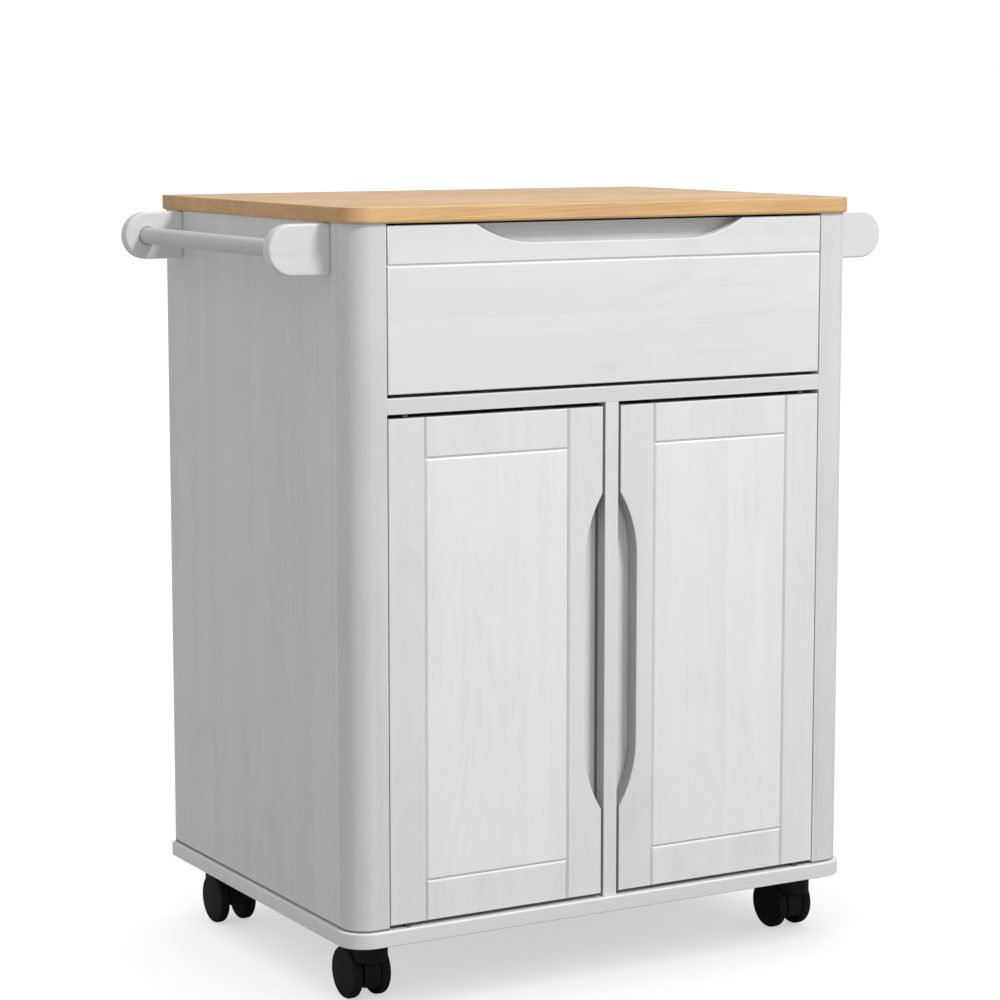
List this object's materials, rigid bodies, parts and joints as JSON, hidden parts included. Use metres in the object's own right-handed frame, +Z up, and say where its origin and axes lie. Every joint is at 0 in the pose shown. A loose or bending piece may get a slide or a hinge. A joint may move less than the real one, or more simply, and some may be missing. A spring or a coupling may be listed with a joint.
{
  "type": "kitchen island cart",
  "caption": "White-painted kitchen island cart with a pine worktop, a drawer over two panelled doors, a towel bar on each side and black twin-wheel swivel casters.",
  "frame": {"origin": "on the floor, under the middle of the cart's overall box", "axes": "+X to the right as seen from the doors, +Y from the doors to the back, +Z up"},
  "size_m": [0.73, 0.442, 0.8],
  "materials": {
    "worktop_pine": "clear satin lacquer on honey-coloured pine",
    "white_pine": "satin white paint through which the grain just shows",
    "white_board": "smooth white-faced board",
    "caster_black": "satin moulded black nylon",
    "wheel_black": "matt moulded black nylon",
    "steel": "bright turned steel",
    "zinc_steel": "zinc-plated sheet steel",
    "black_steel": "blackened turned steel",
    "catch_plastic": "dark grey moulded plastic"
  },
  "bodies": {
    "case": {"top_board": "worktop_pine", "base_board": "white_pine", "side_panel_left": "white_pine", "side_panel_right": "white_pine", "corner_post_left": "white_pine", "corner_post_right": "white_pine", "back_panel": "white_board", "rear_rail": "white_pine", "middle_rail": "white_pine", "centre_stile": "white_pine", "centre_backing": "white_pine", "shelf": "white_pine", "shelf_pins": "steel", "slide_packers": "white_pine", "slide_outers": "zinc_steel", "door_pins": "black_steel", "door_magnets": "catch_plastic", "handle_plate_front_left": "white_pine", "handle_plate_rear_left": "white_pine", "handle_bar_left": "white_pine", "handle_plate_front_right": "white_pine", "handle_plate_rear_right": "white_pine", "handle_bar_right": "white_pine", "frame_screws": "zinc_steel", "caster_plates": "caster_black", "caster_screws": "zinc_steel"},
    "drawer": {"drawer_front": "white_pine", "drawer_subfront": "white_pine", "drawer_side_left": "white_pine", "drawer_side_right": "white_pine", "drawer_back": "white_pine", "drawer_bottom": "white_board", "slide_inners": "zinc_steel"},
    "slide_middle": {"slide_middles": "zinc_steel"},
    "door_left": {"door_stile_outer_left": "white_pine", "door_stile_inner_left": "white_pine", "door_rails_left": "white_pine", "door_panel_left": "white_pine", "door_strike_left": "zinc_steel"},
    "door_right": {"door_stile_outer_right": "white_pine", "door_stile_inner_right": "white_pine", "door_rails_right": "white_pine", "door_panel_right": "white_pine", "door_strike_right": "zinc_steel"},
    "caster_front_left": {"caster_hood_front_left": "caster_black", "caster_axle_front_left": "steel"},
    "wheel_front_left_outer": {"caster_wheel_front_left_outer": "wheel_black"},
    "wheel_front_left_inner": {"caster_wheel_front_left_inner": "wheel_black"},
    "caster_front_right": {"caster_hood_front_right": "caster_black", "caster_axle_front_right": "steel"},
    "wheel_front_right_outer": {"caster_wheel_front_right_outer": "wheel_black"},
    "wheel_front_right_inner": {"caster_wheel_front_right_inner": "wheel_black"},
    "caster_rear_left": {"caster_hood_rear_left": "caster_black", "caster_axle_rear_left": "steel"},
    "wheel_rear_left_outer": {"caster_wheel_rear_left_outer": "wheel_black"},
    "wheel_rear_left_inner": {"caster_wheel_rear_left_inner": "wheel_black"},
    "caster_rear_right": {"caster_hood_rear_right": "caster_black", "caster_axle_rear_right": "steel"},
    "wheel_rear_right_outer": {"caster_wheel_rear_right_outer": "wheel_black"},
    "wheel_rear_right_inner": {"caster_wheel_rear_right_inner": "wheel_black"}
  },
  "joints": [
    {"name": "drawer_slide", "type": "slide", "parent": "case", "child": "drawer", "axis": [0, -1, 0], "range_m": [0, 0.33]},
    {"name": "slide_middle_slide", "type": "slide", "parent": "case", "child": "slide_middle", "axis": [0, -1, 0], "range_m": [0, 0.165]},
    {"name": "door_left_hinge", "type": "hinge", "parent": "case", "child": "door_left", "pos_m": [-0.2365, -0.212, 0.34], "axis": [0, 0, -1], "range_deg": [0, 110]},
    {"name": "door_right_hinge", "type": "hinge", "parent": "case", "child": "door_right", "pos_m": [0.2365, -0.212, 0.34], "axis": [0, 0, 1], "range_deg": [0, 110]},
    {"name": "caster_front_left_swivel", "type": "hinge", "parent": "case", "child": "caster_front_left", "pos_m": [-0.2605, -0.178, 0.06], "axis": [0, 0, 1], "continuous": true},
    {"name": "wheel_front_left_outer_roll", "type": "hinge", "parent": "caster_front_left", "child": "wheel_front_left_outer", "pos_m": [-0.27625, -0.1585, 0.027], "axis": [1, 0, 0], "continuous": true},
    {"name": "wheel_front_left_inner_roll", "type": "hinge", "parent": "caster_front_left", "child": "wheel_front_left_inner", "pos_m": [-0.24475, -0.1585, 0.027], "axis": [1, 0, 0], "continuous": true},
    {"name": "caster_front_right_swivel", "type": "hinge", "parent": "case", "child": "caster_front_right", "pos_m": [0.2605, -0.178, 0.06], "axis": [0, 0, 1], "continuous": true},
    {"name": "wheel_front_right_outer_roll", "type": "hinge", "parent": "caster_front_right", "child": "wheel_front_right_outer", "pos_m": [0.27625, -0.1585, 0.027], "axis": [1, 0, 0], "continuous": true},
    {"name": "wheel_front_right_inner_roll", "type": "hinge", "parent": "caster_front_right", "child": "wheel_front_right_inner", "pos_m": [0.24475, -0.1585, 0.027], "axis": [1, 0, 0], "continuous": true},
    {"name": "caster_rear_left_swivel", "type": "hinge", "parent": "case", "child": "caster_rear_left", "pos_m": [-0.2605, 0.181, 0.06], "axis": [0, 0, 1], "continuous": true},
    {"name": "wheel_rear_left_outer_roll", "type": "hinge", "parent": "caster_rear_left", "child": "wheel_rear_left_outer", "pos_m": [-0.27625, 0.1615, 0.027], "axis": [1, 0, 0], "continuous": true},
    {"name": "wheel_rear_left_inner_roll", "type": "hinge", "parent": "caster_rear_left", "child": "wheel_rear_left_inner", "pos_m": [-0.24475, 0.1615, 0.027], "axis": [1, 0, 0], "continuous": true},
    {"name": "caster_rear_right_swivel", "type": "hinge", "parent": "case", "child": "caster_rear_right", "pos_m": [0.2605, 0.181, 0.06], "axis": [0, 0, 1], "continuous": true},
    {"name": "wheel_rear_right_outer_roll", "type": "hinge", "parent": "caster_rear_right", "child": "wheel_rear_right_outer", "pos_m": [0.27625, 0.1615, 0.027], "axis": [1, 0, 0], "continuous": true},
    {"name": "wheel_rear_right_inner_roll", "type": "hinge", "parent": "caster_rear_right", "child": "wheel_rear_right_inner", "pos_m": [0.24475, 0.1615, 0.027], "axis": [1, 0, 0], "continuous": true}
  ],
  "couplings": [
    {"joint": "slide_middle_slide", "follows": "drawer_slide", "ratio": 0.5}
  ]
}
